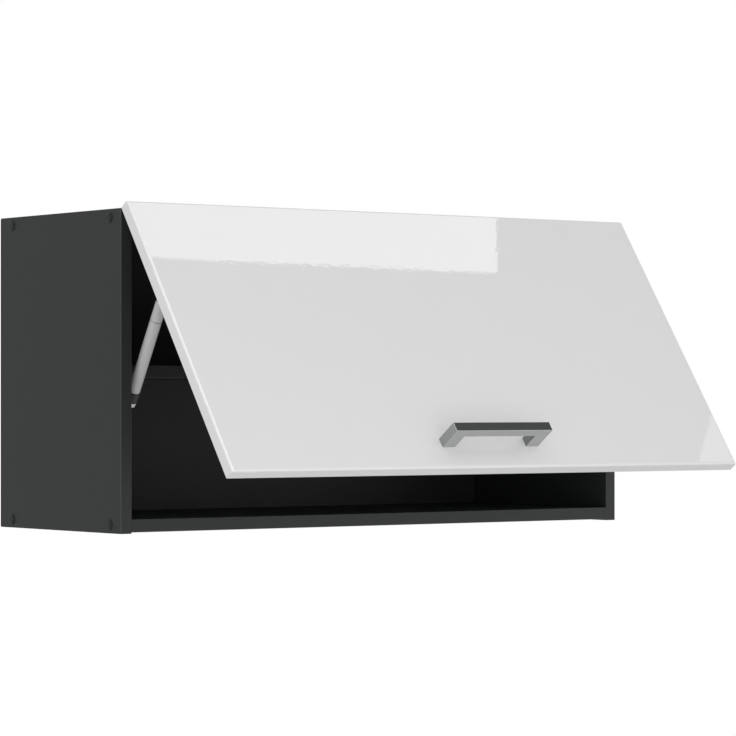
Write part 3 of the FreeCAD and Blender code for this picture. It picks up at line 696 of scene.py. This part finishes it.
def rounding_corners(edge, beside, angles, reach, width):
    """The corners of a panel that a rounded edge, between the flap's front and a face beside it, reflects."""
    sight = (edge - CAMERA_PLACE).normalized()
    ways = []
    for angle in angles:
        turn = math.radians(angle)
        ways.append(mirrored(sight, FLAP_OUT * math.cos(turn) + beside * math.sin(turn)))
    across = ways[0].cross(ways[1]).normalized() * width / 2
    ends = [edge + way * reach for way in ways]
    return [ends[0] - across, ends[0] + across, ends[1] + across, ends[1] - across]


def panel_corners(place, way, reach, size):
    """The corners of a panel that faces a place from some way off."""
    centre = place + way.normalized() * reach
    turn = way.to_track_quat("Z", "Y").to_matrix()
    half_wide, half_high = size[0] / 2, size[1] / 2
    return [centre + turn @ Vector((x * half_wide, y * half_high, 0))
            for x, y in ((-1, -1), (1, -1), (1, 1), (-1, 1))]


def glow(name, strength):
    made, tree, _ = new_material(name)
    tree.nodes.clear()
    shader = feed(tree, add_node(tree, "ShaderNodeEmission"), Strength=strength)
    output = add_node(tree, "ShaderNodeOutputMaterial")
    feed(tree, output, Surface=shader.outputs["Emission"])
    return made


def light_box(name, corners, strength, lights=True, reflected=True):
    """A glowing panel that the camera doesn't see; it lights matt surfaces, shows in gloss, or both."""
    mesh = bpy.data.meshes.new(name)
    mesh.from_pydata(corners, [], [(0, 1, 2, 3)])
    mesh.materials.append(glow(name, strength))
    panel = add_object(name, mesh)
    panel.visible_camera = False
    panel.visible_shadow = False
    panel.visible_diffuse = lights
    panel.visible_glossy = reflected


def make_lights():
    overhead = mirrored_points(OVERHEAD_PIXELS, OVERHEAD_REACH)
    light_box("overhead_box", overhead, OVERHEAD_STRENGTH, lights=False)
    corner = mirrored_points(CORNER_PIXELS, CORNER_REACH)
    light_box("corner_box", corner, CORNER_STRENGTH)
    left = rounding_corners(LEFT_EDGE, LEFT, LEFT_ANGLES, LEFT_REACH, LEFT_WIDTH)
    light_box("left_box", left, LEFT_STRENGTH, lights=False)
    lower = rounding_corners(LOWER_EDGE, FLAP_DOWN, LOWER_ANGLES, LOWER_REACH, LOWER_WIDTH)
    light_box("low_box", lower, LOWER_STRENGTH, lights=False)
    fill = panel_corners(AIM, FILL_WAY, FILL_REACH, FILL_SIZE)
    light_box("fill_box", fill, FILL_STRENGTH, reflected=False)


def sees_background(tree):
    """One for the rays that see the background itself: from the camera, gloss or glass."""
    path = add_node(tree, "ShaderNodeLightPath").outputs
    return largest(tree, path["Is Camera Ray"], path["Is Glossy Ray"], path["Is Transmission Ray"])


def make_world():
    world = bpy.data.worlds.new("studio")
    bpy.context.scene.world = world
    world.use_nodes = True
    tree = world.node_tree
    tree.nodes.clear()
    soft = feed(tree, add_node(tree, "ShaderNodeBackground"), Color=WHITE, Strength=AMBIENT)
    plain = feed(tree, add_node(tree, "ShaderNodeBackground"), Color=WHITE, Strength=1.0)
    mix = mixed_shader(tree, sees_background(tree), soft.outputs[0], plain.outputs[0])
    feed(tree, add_node(tree, "ShaderNodeOutputWorld"), Surface=mix)


def floor_material():
    """Pale floor that fades out towards its rim, and isn't there from below."""
    made, tree, shader = new_material("pale_floor")
    feed(tree, shader, Base_Color=FLOOR_COLOUR, Roughness=0.9, Specular_IOR_Level=0.1)
    distance = add_node(tree, "ShaderNodeVectorMath", operation="LENGTH")
    plug(tree, distance.inputs[0], at_object(tree))
    rim = spread(tree, distance.outputs["Value"], span=(FLOOR_RADIUS * FLOOR_FADE_FROM, FLOOR_RADIUS))
    away = largest(tree, rim, add_node(tree, "ShaderNodeNewGeometry").outputs["Backfacing"])
    clear = add_node(tree, "ShaderNodeBsdfTransparent")
    mix = mixed_shader(tree, away, shader.outputs[0], clear.outputs[0])
    feed(tree, tree.nodes["Material Output"], Surface=mix)
    return made


def make_floor():
    mesh = bmesh.new()
    bmesh.ops.create_circle(mesh, cap_ends=True, segments=FLOOR_SIDES, radius=FLOOR_RADIUS)
    data = bpy.data.meshes.new("floor")
    mesh.to_mesh(data)
    mesh.free()
    data.materials.append(floor_material())
    floor = add_object("floor", data)
    floor.location = (0, AIM.y, cad_low.z - FLOOR_DROP)


dress()
make_camera()
make_world()
make_lights()
make_floor()
bpy.context.scene.view_settings.view_transform = "Standard"
